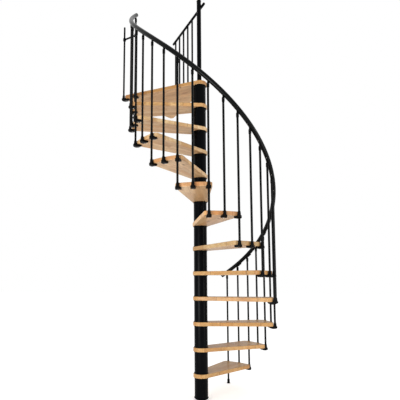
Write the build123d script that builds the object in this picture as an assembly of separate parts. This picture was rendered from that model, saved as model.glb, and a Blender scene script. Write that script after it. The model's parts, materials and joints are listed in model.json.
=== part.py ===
from build123d import *
import math
import os

# Spiral staircase with wooden wedge treads on a clamped steel column.
# All lengths are in millimetres and all angles in degrees.
# The origin is on the column's axis at the floor, +Z is up,
# +X is to the right and +Y is away from someone facing the stair.

# The climb
RISE = 225.0
TREAD_COUNT = 12
STEP_ANGLE = 21.29
START_ANGLE = 64.9
BALUSTER_CIRCLE_R = 655.0

# The column
COLUMN_R = 60.0
COLUMN_WALL = 4.0
COLLAR_LIP = 4.0
COLLAR_H = 7.0
COLLAR_ROUND = 1.5
ROD_R = 10.0
ROD_NUT_FLATS = 28.0
ROD_NUT_H = 16.0
ROD_END_OVER_NUT = 8.0

# The base plate
BASE_R = 46.0
BASE_T = 10.0
SHOULDER_T = 5.0
SPIGOT_H = 14.0
SPIGOT_CLEARANCE = 0.3
ANCHOR_CIRCLE_R = 31.0
ANCHOR_HOLE_R = 5.5
ANCHOR_COUNT = 4
ANCHOR_TURN = 45.0
ROD_SOCKET_FLOOR = 9.0

# Treads and landing
TREAD_T = 34.0
RING_LIP = 10.0
TREAD_SIDE_MARGIN = 32.0
TREAD_CORNER_R = 34.0
BOARD_ROUND = 4.0
LANDING_SPAN = 43.9
LANDING_OVERHANG = 142.0
LANDING_CORNER_R = 30.0

# Balusters and the brackets that carry them
BALUSTER_R = 9.0
BALUSTER_TOP = 1015.0
SLEEVE_FOOT_R = 14.5
SLEEVE_TOP_R = 11.5
SLEEVE_H = 32.0
SLEEVE_GAP = 0.5
SOLE_T = 20.0
SOLE_HEEL_T = 13.0
SOLE_TOE_T = 6.0
SOLE_HALF_WIDTH = 19.0
SOLE_LENGTH = 80.0
SOLE_OUTWARD = 20.0
BLIND_FLOOR = 6.0
FLOOR_FOOT_R = 17.0
FLOOR_FOOT_FLANGE_T = 4.0
FLOOR_FOOT_H = 40.0
FLOOR_FOOT_SLEEVE_R = 13.0

# Caps and clips between balusters and handrail
CAP_R = 11.5
CAP_H = 36.0
CAP_ROUND = 5.0
CAP_CROWN = 7.0
NECK_SIDE = 11.0
CLIP_UPHILL = 32.0
CLIP_DOWNHILL = 8.0
CLIP_WIDTH = 16.0
CLIP_T = 6.0

# The handrail
HANDRAIL_R = 19.0
HANDRAIL_OVER_CAP = 34.0
HANDRAIL_OUTWARD = 5.0
HANDRAIL_BEFORE_FIRST = 0.22
HANDRAIL_PAST_LAST = 0.1
HANDRAIL_ARC_STEPS = 0.5
HANDRAIL_PROBE = 0.01
FOOT_EASE_STEPS = 2.8
FOOT_EASE_LIFT = 86.0
END_CAP_T = 11.0
END_CAP_ROUND = 8.0

# The corner baluster and its link
CORNER_BALUSTER_TOP = 744.0
CORNER_BALUSTER_ROUND = 6.0
LINK_HEIGHT = 607.0
LINK_R = 8.5
LINK_CLAMP_R = 15.0
LINK_CLAMP_H = 30.0
LINK_CLAMP_ROUND = 4.0

# The upper pole and the landing rail
POLE_R = 21.0
POLE_WALL = 3.0
POLE_HEIGHT = 843.0
POLE_FLANGE_R = 55.0
POLE_FLANGE_T = 6.0
POLE_CAP_LIP = 1.5
POLE_CAP_H = 14.0
POLE_CAP_ROUND = 9.0
LANDING_RAIL_R = 12.5
POLE_OVER_RAIL = 37.0
LANDING_RAIL_GAP = 2.0
LANDING_RAIL_BACK = 45.0
LANDING_RAIL_SHORT = 107.0
LANDING_RAIL_ROUND = 6.0
LANDING_BALUSTER_COUNT = 5
LANDING_BALUSTER_FIRST = 216.0
LANDING_BALUSTER_SHORT = 173.0
LANDING_FOOT_R = 20.0
LANDING_FOOT_FLANGE_T = 5.0
LANDING_FOOT_H = 26.0
LANDING_FOOT_SLEEVE_R = 13.0
CLAMP_R = 9.0

# Values that follow from the ones above
RING_R = COLUMN_R + RING_LIP
TREAD_R = BALUSTER_CIRCLE_R - SLEEVE_FOOT_R - SLEEVE_GAP
LANDING_SIDE = BALUSTER_CIRCLE_R + LANDING_OVERHANG
LANDING_RAIL_HEIGHT = POLE_HEIGHT - POLE_OVER_RAIL
LANDING_RAIL_REACH = LANDING_SIDE - LANDING_RAIL_SHORT
LANDING_BALUSTER_LAST = LANDING_SIDE - LANDING_BALUSTER_SHORT
LANDING_Z = (TREAD_COUNT + 1) * RISE
SOLE_DROP = TREAD_T + SOLE_T
TUBE_START = BASE_T + SHOULDER_T


def polar(radius, angle):
    """Point of the floor plan at a radius and an angle."""
    return Vector(
        radius * math.cos(math.radians(angle)),
        radius * math.sin(math.radians(angle)),
    )


def step_angle(step):
    """Plan angle of a place on the climb, counted in steps from the floor."""
    return START_ANGLE - STEP_ANGLE * step


def baluster_point(step):
    """Plan point of the baluster that stands at a place on the climb."""
    return polar(BALUSTER_CIRCLE_R, step_angle(step))


def cap_top(step):
    """Height of a baluster cap: it follows the climb and eases level at the foot."""
    below = max(0.0, FOOT_EASE_STEPS - step) / FOOT_EASE_STEPS
    return step * RISE + BALUSTER_TOP + FOOT_EASE_LIFT * below**2


def handrail_point(step):
    """Point on the handrail's centre line."""
    spot = polar(BALUSTER_CIRCLE_R + HANDRAIL_OUTWARD, step_angle(step))
    return Vector(spot.X, spot.Y, cap_top(step) + HANDRAIL_OVER_CAP)


def handrail_heading(step):
    """Direction in which the handrail climbs past a place."""
    ahead = handrail_point(step + HANDRAIL_PROBE)
    return (ahead - handrail_point(step - HANDRAIL_PROBE)).normalized()


def upright(radius, low, high):
    """Round upright between two heights, centred on the origin."""
    return Pos(0, 0, low) * extrude(Circle(radius), high - low)


# The landing in plan: its two long sides are equal and touch the ring round the
# column, and the near one passes behind the last long baluster.
NEAR_TURN = math.degrees(
    math.asin((RING_R + SLEEVE_FOOT_R + SLEEVE_GAP) / BALUSTER_CIRCLE_R)
)
NEAR_ANGLE = step_angle(TREAD_COUNT) - NEAR_TURN
FAR_ANGLE = NEAR_ANGLE - LANDING_SPAN
OUTER_ANGLE = NEAR_ANGLE - LANDING_SPAN / 2 - 90
NEAR_FOOT = polar(RING_R, NEAR_ANGLE + 90)
FAR_FOOT = polar(RING_R, FAR_ANGLE - 90)
NEAR_CORNER = NEAR_FOOT + polar(LANDING_SIDE, NEAR_ANGLE)
FAR_CORNER = FAR_FOOT + polar(LANDING_SIDE, FAR_ANGLE)

# The bisector of the landing's near corner, pointing into the board
CORNER_HALF = (OUTER_ANGLE - (NEAR_ANGLE + 180)) % 360 / 2
CORNER_BISECTOR = NEAR_ANGLE + 180 + CORNER_HALF
CORNER_INSET = LANDING_CORNER_R / math.sin(math.radians(CORNER_HALF))
CORNER_POST = NEAR_CORNER + polar(
    CORNER_INSET - LANDING_CORNER_R - SLEEVE_FOOT_R - SLEEVE_GAP, CORNER_BISECTOR
)

# The landing rail runs along the far side, beside the upper pole
RAIL_OFFSET = POLE_R + LANDING_RAIL_R + LANDING_RAIL_GAP
RAIL_FOOT = polar(RAIL_OFFSET, FAR_ANGLE - 90)


def board(outline, radius):
    """Wooden board of a plan outline with rounded corners and edges and a rod hole."""
    corners = outline.vertices().sort_by(lambda v: math.hypot(v.X, v.Y))[-2:]
    plan = fillet(corners, radius)
    solid = Pos(0, 0, -TREAD_T) * extrude(plan, TREAD_T)
    rims = solid.faces().sort_by(Axis.Z)[0].edges()
    rims += solid.faces().sort_by(Axis.Z)[-1].edges()
    solid = fillet(rims, BOARD_ROUND)
    return solid - upright(ROD_R, -TREAD_T, 0)


def tread_board():
    """Wedge tread with its top at zero, its middle along +X."""
    half = STEP_ANGLE / 2 + math.degrees(TREAD_SIDE_MARGIN / TREAD_R)
    touch = half + math.degrees(math.acos(RING_R / TREAD_R))
    outline = make_face(
        [
            Line(polar(RING_R, touch), polar(TREAD_R, half)),
            ThreePointArc(polar(TREAD_R, half), (TREAD_R, 0), polar(TREAD_R, -half)),
            Line(polar(TREAD_R, -half), polar(RING_R, -touch)),
            ThreePointArc(polar(RING_R, -touch), (-RING_R, 0), polar(RING_R, touch)),
        ]
    )
    return board(outline, TREAD_CORNER_R)


def landing_board():
    """Landing board with its top at zero, turned as it stands."""
    back = polar(RING_R, (NEAR_ANGLE + FAR_ANGLE) / 2 + 180)
    outline = make_face(
        [
            Line(NEAR_FOOT, NEAR_CORNER),
            Line(NEAR_CORNER, FAR_CORNER),
            Line(FAR_CORNER, FAR_FOOT),
            ThreePointArc(FAR_FOOT, back, NEAR_FOOT),
        ]
    )
    return board(outline, LANDING_CORNER_R)


def base_plate():
    """Round plate on the floor with a shoulder and spigot for the first tube."""
    spigot_r = COLUMN_R - COLUMN_WALL - SPIGOT_CLEARANCE
    spigot_top = TUBE_START + SPIGOT_H
    plate = upright(BASE_R, 0, BASE_T)
    plate += upright(COLUMN_R, BASE_T, TUBE_START)
    plate += upright(spigot_r, TUBE_START, spigot_top)
    plate -= upright(ROD_R, ROD_SOCKET_FLOOR, spigot_top)
    for index in range(ANCHOR_COUNT):
        spot = polar(ANCHOR_CIRCLE_R, ANCHOR_TURN + index * 360 / ANCHOR_COUNT)
        plate -= Pos(spot) * upright(ANCHOR_HOLE_R, 0, spigot_top)
    return plate


def column_tube(low, high):
    """Hollow spacer tube with a collar at each end."""
    tube = upright(COLUMN_R, low, high)
    for start in (low, high - COLLAR_H):
        collar = upright(COLUMN_R + COLLAR_LIP, start, start + COLLAR_H)
        tube += fillet(collar.edges(), COLLAR_ROUND)
    return tube - upright(COLUMN_R - COLUMN_WALL, low, high)


def tie_rod():
    """Rod that clamps the column from the base plate to the upper flange."""
    top = LANDING_Z + POLE_FLANGE_T + ROD_NUT_H + ROD_END_OVER_NUT
    return upright(ROD_R, ROD_SOCKET_FLOOR, top)


def rod_nut():
    """Hexagonal nut on the upper flange, inside the pole."""
    flats = RegularPolygon(ROD_NUT_FLATS / 2, 6, major_radius=False)
    nut = extrude(flats, ROD_NUT_H) - upright(ROD_R, 0, ROD_NUT_H)
    return Pos(0, 0, LANDING_Z + POLE_FLANGE_T) * nut


def bracket(blind):
    """Moulded bracket at the underside of a board, the board's top at zero.

    The baluster is at the origin and the sole runs inwards along -X, thick under
    the baluster and thinning in a curve to its toe and its heel.
    """
    toe = SOLE_OUTWARD - SOLE_LENGTH
    side = make_face(
        [
            Line((toe, 0), (SOLE_OUTWARD, 0)),
            Line((SOLE_OUTWARD, 0), (SOLE_OUTWARD, -SOLE_HEEL_T)),
            ThreePointArc(
                (SOLE_OUTWARD, -SOLE_HEEL_T), (0, -SOLE_T), (toe, -SOLE_TOE_T)
            ),
            Line((toe, -SOLE_TOE_T), (toe, 0)),
        ]
    )
    slab = extrude(Plane.XZ * side, SOLE_HALF_WIDTH, both=True)
    span = SOLE_LENGTH - 2 * SOLE_HALF_WIDTH
    middle = SOLE_OUTWARD - SOLE_LENGTH / 2
    plan = Pos(middle, 0) * SlotCenterToCenter(span, 2 * SOLE_HALF_WIDTH)
    sole = slab & (Pos(0, 0, -2 * SOLE_T) * extrude(plan, 2 * SOLE_T))
    sleeve = Cone(
        SLEEVE_FOOT_R,
        SLEEVE_TOP_R,
        SLEEVE_H,
        align=(Align.CENTER, Align.CENTER, Align.MIN),
    )
    body = sole + sleeve
    body -= upright(BALUSTER_R, BLIND_FLOOR - SOLE_T if blind else -2 * SOLE_T, SLEEVE_H)
    return Pos(0, 0, -TREAD_T) * body


def stand_bracket(shape, spot, angle, board_top):
    """Bracket moved to its baluster, its back to the board."""
    return Pos(spot.X, spot.Y, board_top) * Rot(0, 0, angle) * shape


def foot_fitting(flange_r, flange_t, sleeve_r, height):
    """Round foot with a socket, standing on zero."""
    foot = upright(flange_r, 0, flange_t) + upright(sleeve_r, 0, height)
    return foot - upright(BALUSTER_R, BLIND_FLOOR, height)


def baluster_bottom(step):
    """Height of a baluster's lower end."""
    if step == 0:
        return BLIND_FLOOR
    return math.ceil(step) * RISE - SOLE_DROP + BLIND_FLOOR


def baluster(step):
    """Round baluster between its foot and the crown of its cap."""
    spot = baluster_point(step)
    top = cap_top(step) - CAP_CROWN
    return Pos(spot.X, spot.Y) * upright(BALUSTER_R, baluster_bottom(step), top)


def handrail_path():
    """Centre line of the handrail: a climbing coil that eases level at the foot.

    It is a chain of arcs, each running on from the last, that meet between clips.
    """
    places = [-HANDRAIL_BEFORE_FIRST]
    seam = HANDRAIL_ARC_STEPS / 2
    while seam < TREAD_COUNT:
        places.append(seam)
        seam += HANDRAIL_ARC_STEPS
    places.append(TREAD_COUNT + HANDRAIL_PAST_LAST)
    points = [handrail_point(place) for place in places]
    heading = handrail_heading(places[0])
    arcs = []
    for near, far in zip(points, points[1:]):
        arc = Edge.make_tangent_arc(near, heading, far)
        arcs.append(arc)
        heading = arc % 1
    return Wire(arcs)


def handrail(path):
    """Round handrail along its centre line."""
    start = Plane(origin=path @ 0, z_dir=path % 0)
    return sweep(start * Circle(HANDRAIL_R), path=path)


def handrail_end_cap(path, place, facing):
    """Rounded end cap seated on one end of the handrail."""
    cap = extrude(Circle(HANDRAIL_R), END_CAP_T)
    cap = fillet(cap.faces().sort_by(Axis.Z)[-1].edges(), END_CAP_ROUND)
    return Plane(origin=path @ place, z_dir=(path % place) * facing) * cap


def rail_clip(step, rail):
    """Cap, neck and saddle of one baluster, trimmed to the handrail."""
    spot = baluster_point(step)
    top = cap_top(step)
    cap = fillet(
        upright(CAP_R, top - CAP_H, top).faces().sort_by(Axis.Z)[-1].edges(),
        CAP_ROUND,
    )
    neck_h = HANDRAIL_OVER_CAP - HANDRAIL_R / 2
    neck = Box(NECK_SIDE, NECK_SIDE, neck_h + CAP_ROUND)
    neck = Pos(0, 0, top + (neck_h - CAP_ROUND) / 2) * neck
    ahead = handrail_heading(step)
    below = polar(1, step_angle(step)).cross(ahead)
    centre = handrail_point(step) - Vector(spot.X, spot.Y, 0)
    seat = Plane(origin=centre, x_dir=ahead, z_dir=below)
    saddle = Pos((CLIP_UPHILL - CLIP_DOWNHILL) / 2, 0, 0) * Box(
        CLIP_UPHILL + CLIP_DOWNHILL,
        CLIP_WIDTH,
        HANDRAIL_R + CLIP_T,
        align=(Align.CENTER, Align.CENTER, Align.MIN),
    )
    body = cap + Rot(0, 0, step_angle(step)) * neck + seat * saddle
    body = Pos(spot.X, spot.Y) * body - rail
    body -= Pos(spot.X, spot.Y) * upright(BALUSTER_R, top - CAP_H, top - CAP_CROWN)
    return body.solids().sort_by(Axis.Z)[0]


def corner_baluster():
    """Free-standing baluster at the landing's near corner."""
    low = LANDING_Z - SOLE_DROP + BLIND_FLOOR
    post = upright(BALUSTER_R, low, LANDING_Z + CORNER_BALUSTER_TOP)
    post = fillet(post.faces().sort_by(Axis.Z)[-1].edges(), CORNER_BALUSTER_ROUND)
    return Pos(CORNER_POST.X, CORNER_POST.Y) * post


def corner_link():
    """Bar clamped between the corner baluster and the last long one."""
    height = LANDING_Z + LINK_HEIGHT
    ends = (CORNER_POST, baluster_point(TREAD_COUNT))
    across = ends[1] - ends[0]
    start = Vector(ends[0].X, ends[0].Y, height)
    link = Plane(origin=start, z_dir=across) * extrude(Circle(LINK_R), across.length)
    for spot in ends:
        clamp = upright(LINK_CLAMP_R, height - LINK_CLAMP_H / 2, height + LINK_CLAMP_H / 2)
        link += Pos(spot.X, spot.Y) * fillet(clamp.edges(), LINK_CLAMP_ROUND)
    for spot in ends:
        bore = upright(BALUSTER_R, height - LINK_CLAMP_H, height + LINK_CLAMP_H)
        link -= Pos(spot.X, spot.Y) * bore
    return link


def upper_pole():
    """Hollow pole above the landing with its flange."""
    flange_top = LANDING_Z + POLE_FLANGE_T
    pole = upright(POLE_R, LANDING_Z, LANDING_Z + POLE_HEIGHT)
    pole += upright(POLE_FLANGE_R, LANDING_Z, flange_top)
    pole -= upright(POLE_R - POLE_WALL, flange_top, LANDING_Z + POLE_HEIGHT)
    return pole - upright(ROD_R, LANDING_Z, flange_top)


def pole_cap():
    """Rounded cap on the top of the upper pole."""
    low = LANDING_Z + POLE_HEIGHT
    cap = upright(POLE_R + POLE_CAP_LIP, low, low + POLE_CAP_H)
    return fillet(cap.faces().sort_by(Axis.Z)[-1].edges(), POLE_CAP_ROUND)


def landing_rail():
    """Level rail beside the upper pole."""
    rail = extrude(Circle(LANDING_RAIL_R), LANDING_RAIL_BACK + LANDING_RAIL_REACH)
    rail = fillet(rail.edges().filter_by(GeomType.CIRCLE), LANDING_RAIL_ROUND)
    start = RAIL_FOOT - polar(LANDING_RAIL_BACK, FAR_ANGLE)
    height = LANDING_Z + LANDING_RAIL_HEIGHT
    place = Plane(origin=(start.X, start.Y, height), z_dir=polar(1, FAR_ANGLE))
    return place * rail


def landing_baluster_points():
    """Plan points of the balusters under the landing rail."""
    pitch = (LANDING_BALUSTER_LAST - LANDING_BALUSTER_FIRST) / (LANDING_BALUSTER_COUNT - 1)
    return [
        RAIL_FOOT + polar(LANDING_BALUSTER_FIRST + pitch * index, FAR_ANGLE)
        for index in range(LANDING_BALUSTER_COUNT)
    ]


def landing_baluster(spot, rail):
    """Baluster on the landing, trimmed to the underside of its rail."""
    low = LANDING_Z + BLIND_FLOOR
    post = upright(BALUSTER_R, low, LANDING_Z + LANDING_RAIL_HEIGHT)
    return Pos(spot.X, spot.Y) * post - rail


def pole_clamp(rail):
    """Round spacer that joins the landing rail to the side of the upper pole."""
    height = LANDING_Z + LANDING_RAIL_HEIGHT
    place = Plane(origin=(0, 0, height), z_dir=polar(1, FAR_ANGLE - 90))
    spacer = place * extrude(Circle(CLAMP_R), RAIL_OFFSET)
    spacer -= upright(POLE_R, height - 2 * CLAMP_R, height + 2 * CLAMP_R)
    return spacer - rail


def save(name, *solids):
    """Write one named piece, its solids apart from each other."""
    shape = solids[0] if len(solids) == 1 else Compound(children=list(solids))
    export_step(shape, f"parts/{name}.step")


def build_column():
    """Base plate, spacer tubes, tie rod and nut."""
    save("base_plate", base_plate())
    save("tie_rod", tie_rod())
    save("tie_rod_nut", rod_nut())
    for index in range(TREAD_COUNT + 1):
        low = index * RISE if index else TUBE_START
        high = (index + 1) * RISE - TREAD_T
        save(f"column_tube_{index + 1:02d}", column_tube(low, high))


def build_treads():
    """Twelve wedge treads and the landing."""
    tread = tread_board()
    for step in range(1, TREAD_COUNT + 1):
        turn = Rot(0, 0, step_angle(step - 0.5))
        save(f"tread_{step:02d}", Pos(0, 0, step * RISE) * turn * tread)
    save("landing_board", Pos(0, 0, LANDING_Z) * landing_board())


def build_brackets():
    """Three brackets under each tread, two under the landing, one foot on the floor."""
    through = bracket(False)
    closed = bracket(True)
    steps = range(1, TREAD_COUNT + 1)
    for name, back, shape in (
        ("nosing_brackets", 1, through),
        ("middle_brackets", 0.5, closed),
        ("rear_brackets", 0, closed),
    ):
        placed = []
        for step in steps:
            place = step - back
            spot = baluster_point(place)
            placed.append(stand_bracket(shape, spot, step_angle(place), step * RISE))
        save(name, *placed)
    last = baluster_point(TREAD_COUNT)
    save(
        "landing_brackets",
        stand_bracket(through, last, NEAR_ANGLE + 90, LANDING_Z),
        stand_bracket(closed, CORNER_POST, CORNER_BISECTOR + 180, LANDING_Z),
    )
    first = baluster_point(0)
    foot = foot_fitting(
        FLOOR_FOOT_R, FLOOR_FOOT_FLANGE_T, FLOOR_FOOT_SLEEVE_R, FLOOR_FOOT_H
    )
    save("floor_foot", Pos(first.X, first.Y) * foot)


def build_balustrade():
    """Balusters, handrail and the clips between them."""
    whole = range(TREAD_COUNT + 1)
    middle = [step + 0.5 for step in range(TREAD_COUNT)]
    save("long_balusters", *[baluster(step) for step in whole])
    save("middle_balusters", *[baluster(step) for step in middle])
    path = handrail_path()
    rail = handrail(path)
    save("handrail", rail)
    save(
        "handrail_end_caps",
        handrail_end_cap(path, 0, -1),
        handrail_end_cap(path, 1, 1),
    )
    save("long_baluster_clips", *[rail_clip(step, rail) for step in whole])
    save("middle_baluster_clips", *[rail_clip(step, rail) for step in middle])
    save("corner_baluster", corner_baluster())
    save("corner_link", corner_link())


def build_landing_rail():
    """Upper pole with the level rail beside it."""
    rail = landing_rail()
    spots = landing_baluster_points()
    foot = foot_fitting(
        LANDING_FOOT_R, LANDING_FOOT_FLANGE_T, LANDING_FOOT_SLEEVE_R, LANDING_FOOT_H
    )
    save("upper_pole", upper_pole())
    save("upper_pole_cap", pole_cap())
    save("landing_rail", rail)
    save("landing_rail_clamp", pole_clamp(rail))
    save("landing_rail_balusters", *[landing_baluster(spot, rail) for spot in spots])
    save("landing_rail_feet", *[Pos(spot.X, spot.Y, LANDING_Z) * foot for spot in spots])


build_column()
build_treads()
build_brackets()
build_balustrade()
build_landing_rail()
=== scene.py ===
import json
import math

import bmesh
import bpy
from mathutils import Matrix, Vector


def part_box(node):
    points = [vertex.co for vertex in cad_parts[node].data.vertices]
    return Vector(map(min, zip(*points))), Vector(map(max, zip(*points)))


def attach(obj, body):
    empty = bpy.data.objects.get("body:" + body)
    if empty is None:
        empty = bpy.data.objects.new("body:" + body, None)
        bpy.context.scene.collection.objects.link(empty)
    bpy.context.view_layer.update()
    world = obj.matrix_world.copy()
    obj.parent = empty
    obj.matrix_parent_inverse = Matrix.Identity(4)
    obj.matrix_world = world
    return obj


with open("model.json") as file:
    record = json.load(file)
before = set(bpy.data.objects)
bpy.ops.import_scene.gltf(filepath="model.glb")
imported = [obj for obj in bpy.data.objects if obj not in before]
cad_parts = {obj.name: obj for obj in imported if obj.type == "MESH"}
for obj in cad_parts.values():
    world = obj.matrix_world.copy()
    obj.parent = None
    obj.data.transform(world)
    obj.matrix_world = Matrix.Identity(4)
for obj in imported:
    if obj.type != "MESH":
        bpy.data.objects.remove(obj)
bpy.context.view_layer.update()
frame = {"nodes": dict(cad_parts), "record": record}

scene = bpy.context.scene
nodes = frame["nodes"]

# Sizes of the stair in metres and degrees
RISE = 0.225
TREAD_COUNT = 12
STEP_ANGLE = 21.29
START_ANGLE = 64.9
BALUSTER_CIRCLE = 0.655
TREAD_THICKNESS = 0.034
LANDING_TOP = RISE * (TREAD_COUNT + 1)
LANDING_STAVES_ANGLE = 161.96
LANDING_SOLE_ANGLES = (251.96, 195.98)

# Underside of a bracket's sole: distance outwards from the baluster and depth
SOLE_CURVE = ((0.020, 0.013), (0.0, 0.020), (-0.060, 0.006))
SOLE_SCREWS = (-0.026, -0.045)

# The handrail's centre line, counted in steps of the climb, and its clips
HANDRAIL_CIRCLE = 0.660
HANDRAIL_LIFT = 1.049
HANDRAIL_RADIUS = 0.019
FOOT_EASE_STEPS = 2.8
FOOT_EASE_LIFT = 0.086
SLOPE_PROBE = 0.01
CLIP_THICKNESS = 0.006
CLIP_SCREW_UPHILL = 0.023

# Feet of the landing's balusters
FOOT_FLANGE = 0.005
FOOT_SCREW_CIRCLE = 0.0165
FOOT_SCREW_TURNS = (30, 150, 270)
FOOT_REACH = 0.06


def plan_point(radius, angle, height=0.0):
    """Point at a radius and an angle of the floor plan."""
    turn = math.radians(angle)
    return Vector((radius * math.cos(turn), radius * math.sin(turn), height))


def step_angle(step):
    """Plan angle of a place on the climb, counted in steps from the floor."""
    return START_ANGLE - STEP_ANGLE * step


def handrail_point(step):
    """Point on the handrail's centre line."""
    below = max(0.0, FOOT_EASE_STEPS - step) / FOOT_EASE_STEPS
    height = step * RISE + HANDRAIL_LIFT + FOOT_EASE_LIFT * below**2
    return plan_point(HANDRAIL_CIRCLE, step_angle(step), height)


def circle_through(first, second, third):
    """Centre and radius of the circle through three points of a plane."""
    (ax, ay), (bx, by), (cx, cy) = first, second, third
    area = 2 * (ax * (by - cy) + bx * (cy - ay) + cx * (ay - by))
    a, b, c = (x * x + y * y for x, y in (first, second, third))
    x = (a * (by - cy) + b * (cy - ay) + c * (ay - by)) / area
    y = (a * (cx - bx) + b * (ax - cx) + c * (bx - ax)) / area
    return x, y, math.hypot(ax - x, ay - y)


# Building blocks of the node trees

def new_group(name, inputs, outputs):
    """Empty shader group with the given sockets, and its two ends."""
    group = bpy.data.node_groups.new(name, "ShaderNodeTree")
    for label, kind, value in inputs:
        socket = group.interface.new_socket(label, in_out="INPUT", socket_type=kind)
        if value is not None:
            socket.default_value = value
    for label, kind in outputs:
        group.interface.new_socket(label, in_out="OUTPUT", socket_type=kind)
    start = group.nodes.new("NodeGroupInput")
    end = group.nodes.new("NodeGroupOutput")
    return group, start.outputs, end.inputs


def feed(tree, target, value):
    """Links a socket into another, or writes a plain value there."""
    if isinstance(value, bpy.types.NodeSocket):
        tree.links.new(value, target)
    else:
        target.default_value = value


def arithmetic(tree, operation, first, second=0.0):
    """One Math node."""
    node = tree.nodes.new("ShaderNodeMath")
    node.operation = operation
    feed(tree, node.inputs[0], first)
    feed(tree, node.inputs[1], second)
    return node.outputs[0]


def blend_colours(tree, share, low, high, mode="MIX"):
    """Mix of two colours by a share."""
    node = tree.nodes.new("ShaderNodeMix")
    node.data_type = "RGBA"
    node.blend_type = mode
    first, second = (s for s in node.inputs if s.type == "RGBA")
    feed(tree, node.inputs["Factor"], share)
    feed(tree, first, low)
    feed(tree, second, high)
    return next(s for s in node.outputs if s.type == "RGBA")


def spread(tree, value, low, high, to_low=0.0, to_high=1.0):
    """Smooth step from one span of values to another."""
    node = tree.nodes.new("ShaderNodeMapRange")
    node.interpolation_type = "SMOOTHSTEP"
    feed(tree, node.inputs["Value"], value)
    node.inputs["From Min"].default_value = low
    node.inputs["From Max"].default_value = high
    node.inputs["To Min"].default_value = to_low
    node.inputs["To Max"].default_value = to_high
    return node.outputs["Result"]


def join_xyz(tree, x, y, z):
    """Vector from three numbers."""
    node = tree.nodes.new("ShaderNodeCombineXYZ")
    for socket, value in zip(node.inputs, (x, y, z)):
        feed(tree, socket, value)
    return node.outputs[0]


def noise(tree, vector, scale, detail=3.0, roughness=0.5, distortion=0.0):
    """Noise value at a scale."""
    node = tree.nodes.new("ShaderNodeTexNoise")
    feed(tree, node.inputs["Vector"], vector)
    feed(tree, node.inputs["Scale"], scale)
    node.inputs["Detail"].default_value = detail
    node.inputs["Roughness"].default_value = roughness
    node.inputs["Distortion"].default_value = distortion
    return node.outputs["Fac"]


def chance(tree, dimensions, x, y, z):
    """Random value that stays the same for the same three numbers."""
    node = tree.nodes.new("ShaderNodeTexWhiteNoise")
    node.noise_dimensions = dimensions
    tree.links.new(join_xyz(tree, x, y, z), node.inputs["Vector"])
    return node.outputs["Value"]


def seen_share(tree):
    """One for a ray from the camera, a mirror or through glass, else nought."""
    path = tree.nodes.new("ShaderNodeLightPath")
    seen = arithmetic(tree, "ADD", path.outputs["Is Camera Ray"], path.outputs["Is Glossy Ray"])
    seen = arithmetic(tree, "ADD", seen, path.outputs["Is Transmission Ray"])
    return arithmetic(tree, "MINIMUM", seen, 1.0)


# The boards: glued staves of varnished timber

def growth_rings(tree, drawn):
    """Bands of the growth rings, drawn out along the stave."""
    rings = tree.nodes.new("ShaderNodeTexWave")
    rings.wave_type = "BANDS"
    rings.bands_direction = "Y"
    tree.links.new(drawn, rings.inputs["Vector"])
    rings.inputs["Scale"].default_value = 34.0
    rings.inputs["Distortion"].default_value = 7.0
    rings.inputs["Detail"].default_value = 3.0
    rings.inputs["Detail Scale"].default_value = 1.4
    return spread(tree, rings.outputs["Fac"], 0.25, 0.95, to_high=0.46)


def knot_share(tree, along, across, seed):
    """Rare round knots with a dark heart."""
    place = join_xyz(tree, arithmetic(tree, "MULTIPLY", along, 0.62), across, seed)
    knots = tree.nodes.new("ShaderNodeTexVoronoi")
    knots.feature = "F1"
    tree.links.new(place, knots.inputs["Vector"])
    knots.inputs["Scale"].default_value = 9.0
    knots.inputs["Randomness"].default_value = 1.0
    pick = tree.nodes.new("ShaderNodeSeparateColor")
    tree.links.new(knots.outputs["Color"], pick.inputs[0])
    rare = arithmetic(tree, "GREATER_THAN", pick.outputs[0], 0.58)
    heart = spread(tree, knots.outputs["Distance"], 0.05, 0.17, to_low=0.9, to_high=0.0)
    return arithmetic(tree, "MULTIPLY", heart, rare)


def heartwood_flame(tree, along, across, seed, shift):
    """Long flames of heartwood that run on from stave to stave."""
    place = join_xyz(
        tree,
        arithmetic(tree, "MULTIPLY", along, 0.33),
        arithmetic(tree, "ADD", across, seed),
        arithmetic(tree, "MULTIPLY", shift, 0.35),
    )
    flame = noise(tree, place, 13.0, detail=4.0, roughness=0.62, distortion=0.8)
    return spread(tree, flame, 0.54, 0.68)


def glue_lines(tree, row_place, length_place):
    """Thin lines where a stave meets the next one beside it or at its end."""
    beside = arithmetic(tree, "PINGPONG", arithmetic(tree, "FRACT", row_place), 0.5)
    ahead = arithmetic(tree, "PINGPONG", arithmetic(tree, "FRACT", length_place), 0.5)
    return arithmetic(
        tree,
        "MAXIMUM",
        spread(tree, beside, 0.0, 0.022, to_low=1.0, to_high=0.0),
        spread(tree, ahead, 0.0, 0.0035, to_low=1.0, to_high=0.0),
    )


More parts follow.
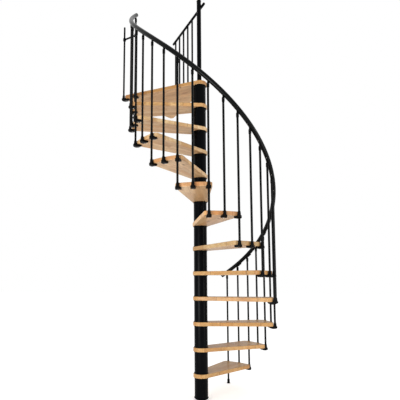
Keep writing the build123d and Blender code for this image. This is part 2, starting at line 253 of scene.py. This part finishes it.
def glued_staves_group():
    """Board of glued staves: colour, roughness and height from a board's own axes.

    X runs along the staves, Y across them and Z through the board.
    """
    group, given, result = new_group(
        "glued staves",
        [
            ("Vector", "NodeSocketVector", None),
            ("Stave Width", "NodeSocketFloat", 0.045),
            ("Stave Length", "NodeSocketFloat", 0.36),
            ("Seed", "NodeSocketFloat", 0.0),
            ("Pale", "NodeSocketColor", (0.80, 0.55, 0.30, 1)),
            ("Warm", "NodeSocketColor", (0.63, 0.34, 0.135, 1)),
            ("Heartwood", "NodeSocketColor", (0.47, 0.225, 0.085, 1)),
            ("Dark", "NodeSocketColor", (0.20, 0.085, 0.03, 1)),
            ("Heartwood Share", "NodeSocketFloat", 0.65),
            ("Side Tint", "NodeSocketColor", (1, 1, 1, 1)),
            ("Side Share", "NodeSocketFloat", 0.0),
        ],
        [
            ("Colour", "NodeSocketColor"),
            ("Roughness", "NodeSocketFloat"),
            ("Height", "NodeSocketFloat"),
        ],
    )
    split = group.nodes.new("ShaderNodeSeparateXYZ")
    group.links.new(given["Vector"], split.inputs[0])
    along, across, through = split.outputs
    seed = given["Seed"]
    # Which stave a point is on, and that stave's own tone
    row_place = arithmetic(group, "DIVIDE", across, given["Stave Width"])
    row = arithmetic(group, "FLOOR", row_place)
    length_place = arithmetic(group, "DIVIDE", along, given["Stave Length"])
    length_place = arithmetic(group, "ADD", length_place, chance(group, "2D", row, seed, 0.0))
    block = arithmetic(group, "FLOOR", length_place)
    tone = chance(group, "3D", row, block, seed)
    shift = arithmetic(group, "MULTIPLY", tone, 7.0)
    shifted = arithmetic(group, "ADD", across, shift)
    drawn = join_xyz(
        group,
        arithmetic(group, "MULTIPLY", along, 0.09),
        shifted,
        arithmetic(group, "ADD", through, shift),
    )
    grain = noise(group, drawn, 420.0, detail=5.0, roughness=0.62)
    cloud = noise(group, drawn, 26.0, detail=2.0, roughness=0.5)
    # Sapwood, streaks, heartwood and rings
    share = arithmetic(group, "MULTIPLY", arithmetic(group, "POWER", tone, 1.6), 0.95)
    colour = blend_colours(group, share, given["Pale"], given["Warm"])
    streak = noise(group, drawn, 60.0, detail=3.0, roughness=0.6, distortion=1.2)
    streak = spread(group, streak, 0.52, 0.70, to_high=0.60)
    colour = blend_colours(group, streak, colour, given["Warm"])
    flame = heartwood_flame(group, along, across, seed, shift)
    flame = arithmetic(group, "MULTIPLY", flame, given["Heartwood Share"])
    colour = blend_colours(group, flame, colour, given["Heartwood"])
    colour = blend_colours(group, growth_rings(group, drawn), colour, given["Warm"])
    # Fibres lighten and darken the whole
    fibre = arithmetic(
        group,
        "MULTIPLY",
        spread(group, grain, 0.30, 0.75, to_low=0.84, to_high=1.10),
        spread(group, cloud, 0.3, 0.7, to_low=0.90, to_high=1.08),
    )
    fibres = group.nodes.new("ShaderNodeVectorMath")
    fibres.operation = "SCALE"
    group.links.new(colour, fibres.inputs[0])
    group.links.new(fibre, fibres.inputs["Scale"])
    knot = knot_share(group, along, shifted, seed)
    colour = blend_colours(group, knot, fibres.outputs[0], given["Dark"])
    line = glue_lines(group, row_place, length_place)
    line_share = arithmetic(group, "MULTIPLY", line, 0.45)
    colour = blend_colours(group, line_share, colour, given["Dark"])
    # The sides and tops are multiplied by a tint that the undersides don't get: on the sides it
    # is their tone, and painted shade on some treads; on the tops it is painted shade
    colour = blend_colours(group, given["Side Share"], colour, given["Side Tint"], "MULTIPLY")
    group.links.new(colour, result["Colour"])
    gloss = spread(group, grain, 0.2, 0.8, to_low=0.40, to_high=0.54)
    group.links.new(gloss, result["Roughness"])
    relief = arithmetic(
        group,
        "SUBTRACT",
        arithmetic(group, "MULTIPLY", grain, 0.00012),
        arithmetic(group, "MULTIPLY", line, 0.00016),
    )
    group.links.new(relief, result["Height"])
    return group


def satin_coat_group():
    """Coated or moulded black surface: slight cloudiness, grain and fine relief."""
    group, given, result = new_group(
        "satin coat",
        [
            ("Vector", "NodeSocketVector", None),
            ("Colour", "NodeSocketColor", (0.01, 0.01, 0.011, 1)),
            ("Worn Colour", "NodeSocketColor", (0.03, 0.03, 0.031, 1)),
            ("Roughness", "NodeSocketFloat", 0.35),
            ("Roughness Spread", "NodeSocketFloat", 0.1),
            ("Grain Size", "NodeSocketFloat", 0.0012),
            ("Grain Depth", "NodeSocketFloat", 0.00001),
        ],
        [
            ("Colour", "NodeSocketColor"),
            ("Roughness", "NodeSocketFloat"),
            ("Height", "NodeSocketFloat"),
        ],
    )
    cloud = noise(group, given["Vector"], 7.0, detail=4.0, roughness=0.6)
    share = spread(group, cloud, 0.35, 0.75)
    colour = blend_colours(group, share, given["Colour"], given["Worn Colour"])
    group.links.new(colour, result["Colour"])
    swing = arithmetic(group, "SUBTRACT", cloud, 0.5)
    swing = arithmetic(group, "MULTIPLY", swing, given["Roughness Spread"])
    gloss = arithmetic(group, "ADD", given["Roughness"], swing)
    group.links.new(gloss, result["Roughness"])
    pitch = arithmetic(group, "DIVIDE", 1.0, given["Grain Size"])
    fine = noise(group, given["Vector"], pitch, detail=2.0)
    relief = arithmetic(group, "MULTIPLY", fine, given["Grain Depth"])
    group.links.new(relief, result["Height"])
    return group


GLUED_STAVES = glued_staves_group()
SATIN_COAT = satin_coat_group()


def base_material(name):
    """Material with one Principled shader, and its Object coordinates."""
    material = bpy.data.materials.new(name)
    material.use_nodes = True
    tree = material.node_tree
    tree.nodes.clear()
    output = tree.nodes.new("ShaderNodeOutputMaterial")
    shader = tree.nodes.new("ShaderNodeBsdfPrincipled")
    tree.links.new(shader.outputs[0], output.inputs[0])
    place = tree.nodes.new("ShaderNodeTexCoord")
    return material, tree, shader, place.outputs["Object"]


def place_group(tree, group, vector, values):
    """A group's node in a material, with its own values by name."""
    node = tree.nodes.new("ShaderNodeGroup")
    node.node_tree = group
    tree.links.new(vector, node.inputs["Vector"])
    for label, value in values.items():
        feed(tree, node.inputs[label], value)
    return node


def finish_from(tree, shader, group):
    """Feeds a group's colour, roughness and height into the shader."""
    tree.links.new(group.outputs["Colour"], shader.inputs["Base Color"])
    tree.links.new(group.outputs["Roughness"], shader.inputs["Roughness"])
    relief = tree.nodes.new("ShaderNodeBump")
    relief.inputs["Strength"].default_value = 1.0
    relief.inputs["Distance"].default_value = 1.0
    tree.links.new(group.outputs["Height"], relief.inputs["Height"])
    tree.links.new(relief.outputs[0], shader.inputs["Normal"])


# Tints multiplied over the long sawn sides, the end grain and the tops, but not the undersides;
# the tops' tint and tread 6's side tint are painted shade
GOLDEN_SIDES = (0.77, 0.66, 0.46, 1)
# Painted shade: tread 6's sides darkened and greyed as if less lit
PAINTED_SHADE_SIDES = (0.74, 0.75, 0.66, 1)
PALE_SIDES = (1.0, 0.94, 0.78, 1)
CREAM_SIDES = (1.05, 1.11, 1.14, 1)
GOLDEN_ENDS = (0.74, 0.58, 0.38, 1)
RED_ENDS = (0.84, 0.66, 0.53, 1)
PAINTED_SHADE_TOPS = (0.66, 0.60, 0.46, 1)

# Tint of each tread's sides, golden where none is named, and of redder end grain; tread 6's
# side tint is painted shade
SIDE_TINTS = {
    6: PAINTED_SHADE_SIDES, 7: PALE_SIDES, 8: PALE_SIDES, 9: PALE_SIDES,
    10: CREAM_SIDES, 11: CREAM_SIDES, 12: PALE_SIDES,
}
END_TINTS = {7: RED_ENDS, 8: RED_ENDS, 9: RED_ENDS}

# The landing's timber, which is redder than the treads'
LANDING_TIMBER = {
    "Seed": 31,
    "Pale": (0.78, 0.49, 0.24, 1),
    "Heartwood": (0.45, 0.19, 0.06, 1),
    "Heartwood Share": 0.8,
}


def board_axes(tree, vector, angle):
    """A vector turned to a board's own axes: X along the staves, Z through it."""
    turn = tree.nodes.new("ShaderNodeMapping")
    turn.inputs["Rotation"].default_value = (0.0, 0.0, math.radians(-angle))
    tree.links.new(vector, turn.inputs["Vector"])
    return turn.outputs[0]


def board_material(name, angle, side_tint, end_tint, timber):
    """Varnished board whose staves run along the given plan angle."""
    material, tree, shader, place = base_material(name)
    facing = tree.nodes.new("ShaderNodeNewGeometry")
    split = tree.nodes.new("ShaderNodeSeparateXYZ")
    tree.links.new(board_axes(tree, facing.outputs["True Normal"], angle), split.inputs[0])
    endways = arithmetic(tree, "ABSOLUTE", split.outputs["X"])
    upwards = split.outputs["Z"]
    tint = blend_colours(tree, spread(tree, endways, 0.45, 0.80), side_tint, end_tint)
    # Painted shade: a darker tint on the tops stands in for less light from above than from
    # below
    tint = blend_colours(tree, spread(tree, upwards, 0.25, 0.75), tint, PAINTED_SHADE_TOPS)
    values = {"Side Tint": tint, "Side Share": spread(tree, upwards, -0.75, -0.25), **timber}
    staves = place_group(tree, GLUED_STAVES, board_axes(tree, place, angle), values)
    finish_from(tree, shader, staves)
    shader.inputs["Specular IOR Level"].default_value = 0.35
    shader.inputs["Coat Weight"].default_value = 0.12
    shader.inputs["Coat Roughness"].default_value = 0.25
    return material


def coat_material(name, colour, worn, gloss, grain, specular, metallic=0.0):
    """Black coat, moulding or plating, with (roughness, spread) and (size, depth)."""
    material, tree, shader, place = base_material(name)
    values = {
        "Colour": (*colour, 1),
        "Worn Colour": (*worn, 1),
        "Roughness": gloss[0],
        "Roughness Spread": gloss[1],
        "Grain Size": grain[0],
        "Grain Depth": grain[1],
    }
    finish_from(tree, shader, place_group(tree, SATIN_COAT, place, values))
    shader.inputs["Specular IOR Level"].default_value = specular
    shader.inputs["Metallic"].default_value = metallic
    return material


COLUMN_COAT = coat_material(
    "column coat",
    colour=(0.0010, 0.0012, 0.0018),
    worn=(0.0020, 0.0023, 0.0030),
    gloss=(0.24, 0.08),
    grain=(0.0014, 0.000006),
    specular=0.04,
)
BALUSTER_COAT = coat_material(
    "baluster coat",
    colour=(0.0018, 0.0022, 0.0024),
    worn=(0.0032, 0.0037, 0.0040),
    gloss=(0.28, 0.10),
    grain=(0.0012, 0.000006),
    specular=0.06,
)
RAIL_PLASTIC = coat_material(
    "handrail plastic",
    colour=(0.0018, 0.0022, 0.0022),
    worn=(0.0036, 0.0041, 0.0041),
    gloss=(0.26, 0.12),
    grain=(0.0009, 0.000005),
    specular=0.09,
)
FITTING_PLASTIC = coat_material(
    "fitting plastic",
    colour=(0.0014, 0.0014, 0.0015),
    worn=(0.0030, 0.0030, 0.0030),
    gloss=(0.44, 0.10),
    grain=(0.0007, 0.000008),
    specular=0.06,
)
ZINC = coat_material(
    "zinc plate",
    colour=(0.46, 0.45, 0.42),
    worn=(0.60, 0.59, 0.55),
    gloss=(0.34, 0.2),
    grain=(0.002, 0.000008),
    specular=0.5,
    metallic=1.0,
)
FINISHES = {
    "column_paint": COLUMN_COAT,
    "baluster_paint": BALUSTER_COAT,
    "handrail_plastic": RAIL_PLASTIC,
    "fitting_plastic": FITTING_PLASTIC,
    "zinc_steel": ZINC,
}


def tread_material(step):
    """Boards of one tread, with its own figure and tints."""
    sides = SIDE_TINTS.get(step, GOLDEN_SIDES)
    ends = END_TINTS.get(step, sides)
    middle = step_angle(step - 0.5)
    return board_material(f"tread boards {step}", middle, sides, ends, {"Seed": step})


def landing_material():
    """Boards of the landing, whose staves run along its near side."""
    return board_material(
        "landing boards", LANDING_STAVES_ANGLE, GOLDEN_SIDES, GOLDEN_ENDS, LANDING_TIMBER
    )


def dress_nodes():
    """Gives each carried-over node its finish."""
    slots = {part["node"]: part["material_slot"] for part in frame["record"]["subparts"]}
    for name, piece in nodes.items():
        if name.startswith("tread_"):
            material = tread_material(int(name.removeprefix("tread_")))
        elif name == "landing_board":
            material = landing_material()
        else:
            material = FINISHES[slots[name]]
        piece.data.materials.clear()
        piece.data.materials.append(material)
        for face in piece.data.polygons:
            face.material_index = 0


dress_nodes()


# Small fasteners, placed by a node tree on points that carry their facing

HEAD_SIDES = 16
HEAD_PROFILE = ((1.0, 0.0), (1.0, 0.35), (0.86, 0.78), (0.55, 1.0))
RECESS_RIM = ((0.46, 0.98), (0.24, 0.98), (0.13, 1.0), (0.24, 0.98))
RECESS_TAPER = 0.8
RECESS_FLOOR = 0.35


def screw_head(radius, height):
    """Pan head with a cross recess, its seat at zero and its crown towards +Z."""
    shape = bmesh.new()

    def ring(places):
        """Ring of vertices from a share of the radius and of the height for each."""
        corners = []
        for i, (share, lift) in enumerate(places):
            turn = 2 * math.pi * i / HEAD_SIDES
            reach = radius * share
            point = (reach * math.cos(turn), reach * math.sin(turn), height * lift)
            corners.append(shape.verts.new(point))
        return corners

    def wall(low, high):
        """Faces from one ring to the next."""
        for i in range(HEAD_SIDES):
            j = (i + 1) % HEAD_SIDES
            shape.faces.new((low[i], low[j], high[j], high[i]))

    rims = [ring([place] * HEAD_SIDES) for place in HEAD_PROFILE]
    for low, high in zip(rims, rims[1:]):
        wall(low, high)
    shape.faces.new(list(reversed(rims[0])))
    arms = [RECESS_RIM[i % len(RECESS_RIM)] for i in range(HEAD_SIDES)]
    cross = ring(arms)
    floor = ring([(share * RECESS_TAPER, RECESS_FLOOR) for share, _ in arms])
    wall(rims[-1], cross)
    wall(cross, floor)
    shape.faces.new(floor)
    bmesh.ops.recalc_face_normals(shape, faces=shape.faces)
    mesh = bpy.data.meshes.new("screw head")
    shape.to_mesh(mesh)
    shape.free()
    return mesh


def fastener_tree():
    """Geometry tree: one head on each point, turned to the point's facing."""
    tree = bpy.data.node_groups.new("fasteners on points", "GeometryNodeTree")
    tree.is_modifier = True
    face = tree.interface
    face.new_socket("Geometry", in_out="INPUT", socket_type="NodeSocketGeometry")
    face.new_socket("Head", in_out="INPUT", socket_type="NodeSocketObject")
    face.new_socket("Size", in_out="INPUT", socket_type="NodeSocketFloat")
    face.new_socket("Finish", in_out="INPUT", socket_type="NodeSocketMaterial")
    face.new_socket("Geometry", in_out="OUTPUT", socket_type="NodeSocketGeometry")
    start = tree.nodes.new("NodeGroupInput")
    end = tree.nodes.new("NodeGroupOutput")
    head = tree.nodes.new("GeometryNodeObjectInfo")
    facing = tree.nodes.new("GeometryNodeInputNamedAttribute")
    facing.data_type = "FLOAT_VECTOR"
    facing.inputs["Name"].default_value = "facing"
    align = tree.nodes.new("FunctionNodeAlignRotationToVector")
    align.axis = "Z"
    place = tree.nodes.new("GeometryNodeInstanceOnPoints")
    real = tree.nodes.new("GeometryNodeRealizeInstances")
    paint = tree.nodes.new("GeometryNodeSetMaterial")
    link = tree.links.new
    link(start.outputs["Head"], head.inputs["Object"])
    link(facing.outputs["Attribute"], align.inputs["Vector"])
    link(start.outputs["Geometry"], place.inputs["Points"])
    link(head.outputs["Geometry"], place.inputs["Instance"])
    link(align.outputs["Rotation"], place.inputs["Rotation"])
    link(start.outputs["Size"], place.inputs["Scale"])
    link(place.outputs["Instances"], real.inputs[0])
    link(real.outputs[0], paint.inputs["Geometry"])
    link(start.outputs["Finish"], paint.inputs["Material"])
    link(paint.outputs["Geometry"], end.inputs["Geometry"])
    return tree


FASTENERS = fastener_tree()


def set_input(modifier, label, value):
    """Sets a named input of a modifier's tree by the socket's identifier."""
    for item in modifier.node_group.interface.items_tree:
        if item.item_type == "SOCKET" and item.in_out == "INPUT" and item.name == label:
            modifier[item.identifier] = value


def place_fasteners(name, spots, radius, height):
    """Zinc heads on (point, facing) pairs as one plain mesh."""
    points = bpy.data.meshes.new(name + " points")
    points.from_pydata([tuple(spot) for spot, _ in spots], [], [])
    facing = points.attributes.new("facing", "FLOAT_VECTOR", "POINT")
    for item, (_, way) in zip(facing.data, spots):
        item.vector = way
    head = bpy.data.objects.new(name + " head", screw_head(radius, height))
    carrier = bpy.data.objects.new(name + " carrier", points)
    for item in (head, carrier):
        scene.collection.objects.link(item)
    modifier = carrier.modifiers.new("fasteners", "NODES")
    modifier.node_group = FASTENERS
    set_input(modifier, "Head", head)
    set_input(modifier, "Size", 1.0)
    set_input(modifier, "Finish", ZINC)
    bpy.context.view_layer.update()
    graph = bpy.context.evaluated_depsgraph_get()
    mesh = bpy.data.meshes.new_from_object(carrier.evaluated_get(graph))
    mesh.name = name
    for item in (carrier, head):
        bpy.data.objects.remove(item)
    piece = bpy.data.objects.new(name, mesh)
    scene.collection.objects.link(piece)
    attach(piece, "root")


def bracket_places():
    """Every bracket as the baluster's point on its seat, and its outward angle."""
    places = []
    for step in range(1, TREAD_COUNT + 1):
        for back in (1.0, 0.5, 0.0):
            angle = step_angle(step - back)
            spot = plan_point(BALUSTER_CIRCLE, angle, step * RISE - TREAD_THICKNESS)
            places.append((spot, angle))
    low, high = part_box("corner_baluster")
    last = plan_point(BALUSTER_CIRCLE, step_angle(TREAD_COUNT))
    corner = (Vector(low) + Vector(high)) / 2
    for spot, angle in zip((last, corner), LANDING_SOLE_ANGLES):
        places.append((Vector((spot.x, spot.y, LANDING_TOP - TREAD_THICKNESS)), angle))
    return places


def sole_screws():
    """Two screws in each bracket's sole, square to its curved underside."""
    middle, depth, radius = circle_through(*SOLE_CURVE)
    spots = []
    for spot, angle in bracket_places():
        for place in SOLE_SCREWS:
            lean = math.asin((place - middle) / radius)
            drop = depth + radius * math.cos(lean)
            facing = plan_point(math.sin(lean), angle, -math.cos(lean))
            spots.append((spot + plan_point(place, angle, -drop), facing))
    return spots


def clip_screws():
    """One screw under the uphill end of each handrail clip."""
    spots = []
    for half in range(2 * TREAD_COUNT + 1):
        step = half / 2
        centre = handrail_point(step)
        ahead = handrail_point(step + SLOPE_PROBE) - handrail_point(step - SLOPE_PROBE)
        ahead.normalize()
        below = plan_point(1, step_angle(step)).cross(ahead)
        seat = centre + ahead * CLIP_SCREW_UPHILL + below * (HANDRAIL_RADIUS + CLIP_THICKNESS)
        spots.append((seat, below))
    return spots


def foot_centres():
    """Plan centres of the feet of the landing's balusters."""
    feet = {}
    for vertex in nodes["landing_rail_feet"].data.vertices:
        place = (vertex.co.x, vertex.co.y)
        near = next((first for first in feet if math.dist(first, place) < FOOT_REACH), place)
        feet.setdefault(near, []).append(place)
    for members in feet.values():
        yield tuple((min(values) + max(values)) / 2 for values in zip(*members))


def foot_screws():
    """Three screws in the flange of each foot on the landing, facing up."""
    spots = []
    for x, y in foot_centres():
        for turn in FOOT_SCREW_TURNS:
            centre = Vector((x, y, LANDING_TOP + FOOT_FLANGE))
            spots.append((centre + plan_point(FOOT_SCREW_CIRCLE, turn), Vector((0, 0, 1))))
    return spots


place_fasteners("sole_screws", sole_screws(), radius=0.0042, height=0.0024)
place_fasteners("clip_screws", clip_screws(), radius=0.0030, height=0.0018)
place_fasteners("foot_screws", foot_screws(), radius=0.0026, height=0.0016)


# Floor, light and camera

FLOOR_REACH = 30.0
FLOOR_DROP = 0.0005
FLOOR_PAPER = (0.90, 0.90, 0.90, 1)
FLOOR_GLOW = (0.42, 0.42, 0.42, 1)
WHITE = (1, 1, 1, 1)
BLACK = (0, 0, 0, 1)
ROOM_LIGHT = 0.66

# The photograph's camera: sizes in pixels, place in metres, angles in degrees
PICTURE_WIDTH = 400.0
FOCAL_LENGTH = 394.368
SHIFT_RIGHT = 35.722
SHIFT_UP = 40.125
SENSOR_WIDTH = 36.0
CAMERA_PLACE = (0, -3.62489, 1.034345)
CAMERA_YAW = -5.259
CAMERA_PITCH = 5.981
CAMERA_ROLL = 0.165


def pale_floor():
    """Wide floor that looks white to the camera and keeps a soft shadow."""
    mesh = bpy.data.meshes.new("floor")
    low, high = -FLOOR_REACH, FLOOR_REACH
    corners = [(low, low, 0), (high, low, 0), (high, high, 0), (low, high, 0)]
    mesh.from_pydata(corners, [], [(0, 1, 2, 3)])
    floor = bpy.data.objects.new("floor", mesh)
    scene.collection.objects.link(floor)
    floor.location.z = -FLOOR_DROP
    material, tree, shader, _ = base_material("floor paper")
    shader.inputs["Roughness"].default_value = 0.9
    shader.inputs["Specular IOR Level"].default_value = 0.0
    seen = seen_share(tree)
    paper = blend_colours(tree, seen, FLOOR_PAPER, WHITE)
    tree.links.new(paper, shader.inputs["Base Color"])
    glow = blend_colours(tree, seen, BLACK, FLOOR_GLOW)
    tree.links.new(glow, shader.inputs["Emission Color"])
    shader.inputs["Emission Strength"].default_value = 1.0
    mesh.materials.append(material)


def studio_world():
    """White surroundings: plain light, and white where the camera sees past the stair."""
    world = bpy.data.worlds.new("studio")
    scene.world = world
    world.use_nodes = True
    tree = world.node_tree
    tree.nodes.clear()
    output = tree.nodes.new("ShaderNodeOutputWorld")
    mix = tree.nodes.new("ShaderNodeMixShader")
    tree.links.new(seen_share(tree), mix.inputs[0])
    for socket, strength in zip(mix.inputs[1:], (ROOM_LIGHT, 1.0)):
        light = tree.nodes.new("ShaderNodeBackground")
        light.inputs["Color"].default_value = WHITE
        light.inputs["Strength"].default_value = strength
        tree.links.new(light.outputs[0], socket)
    tree.links.new(mix.outputs[0], output.inputs[0])


def soft_lamp(name, location, target, width, height, power):
    """Rectangular soft lamp aimed at a point."""
    light = bpy.data.lights.new(name, "AREA")
    light.shape = "RECTANGLE"
    light.size = width
    light.size_y = height
    light.energy = power
    lamp = bpy.data.objects.new(name, light)
    scene.collection.objects.link(lamp)
    lamp.location = location
    way = Vector(target) - Vector(location)
    lamp.rotation_euler = way.to_track_quat("-Z", "Y").to_euler()


def photograph_camera():
    """Camera at the photograph's place: low, tilted up a little, close in."""
    data = bpy.data.cameras.new("camera")
    data.sensor_width = SENSOR_WIDTH
    data.lens = FOCAL_LENGTH * SENSOR_WIDTH / PICTURE_WIDTH
    data.shift_x = SHIFT_RIGHT / PICTURE_WIDTH
    data.shift_y = SHIFT_UP / PICTURE_WIDTH
    data.clip_end = 200.0
    camera = bpy.data.objects.new("camera", data)
    scene.collection.objects.link(camera)
    yaw, pitch, roll = (math.radians(a) for a in (CAMERA_YAW, CAMERA_PITCH, CAMERA_ROLL))
    ahead = Vector(
        (math.sin(yaw) * math.cos(pitch), math.cos(yaw) * math.cos(pitch), math.sin(pitch))
    )
    level = Vector((math.cos(yaw), -math.sin(yaw), 0))
    upward = level.cross(ahead)
    right = level * math.cos(roll) + upward * math.sin(roll)
    top = upward * math.cos(roll) - level * math.sin(roll)
    turn = Matrix((right, top, -ahead)).transposed()
    camera.matrix_world = Matrix.Translation(CAMERA_PLACE) @ turn.to_4x4()
    scene.camera = camera


pale_floor()
studio_world()
soft_lamp("key lamp", (-2.4, -3.8, 0.9), (0, 0, 1.9), width=2.2, height=1.6, power=115.0)
soft_lamp("strip lamp", (3.4, -2.0, 1.5), (0, 0, 1.5), width=0.5, height=2.8, power=45.0)
photograph_camera()

scene.view_settings.view_transform = "Standard"
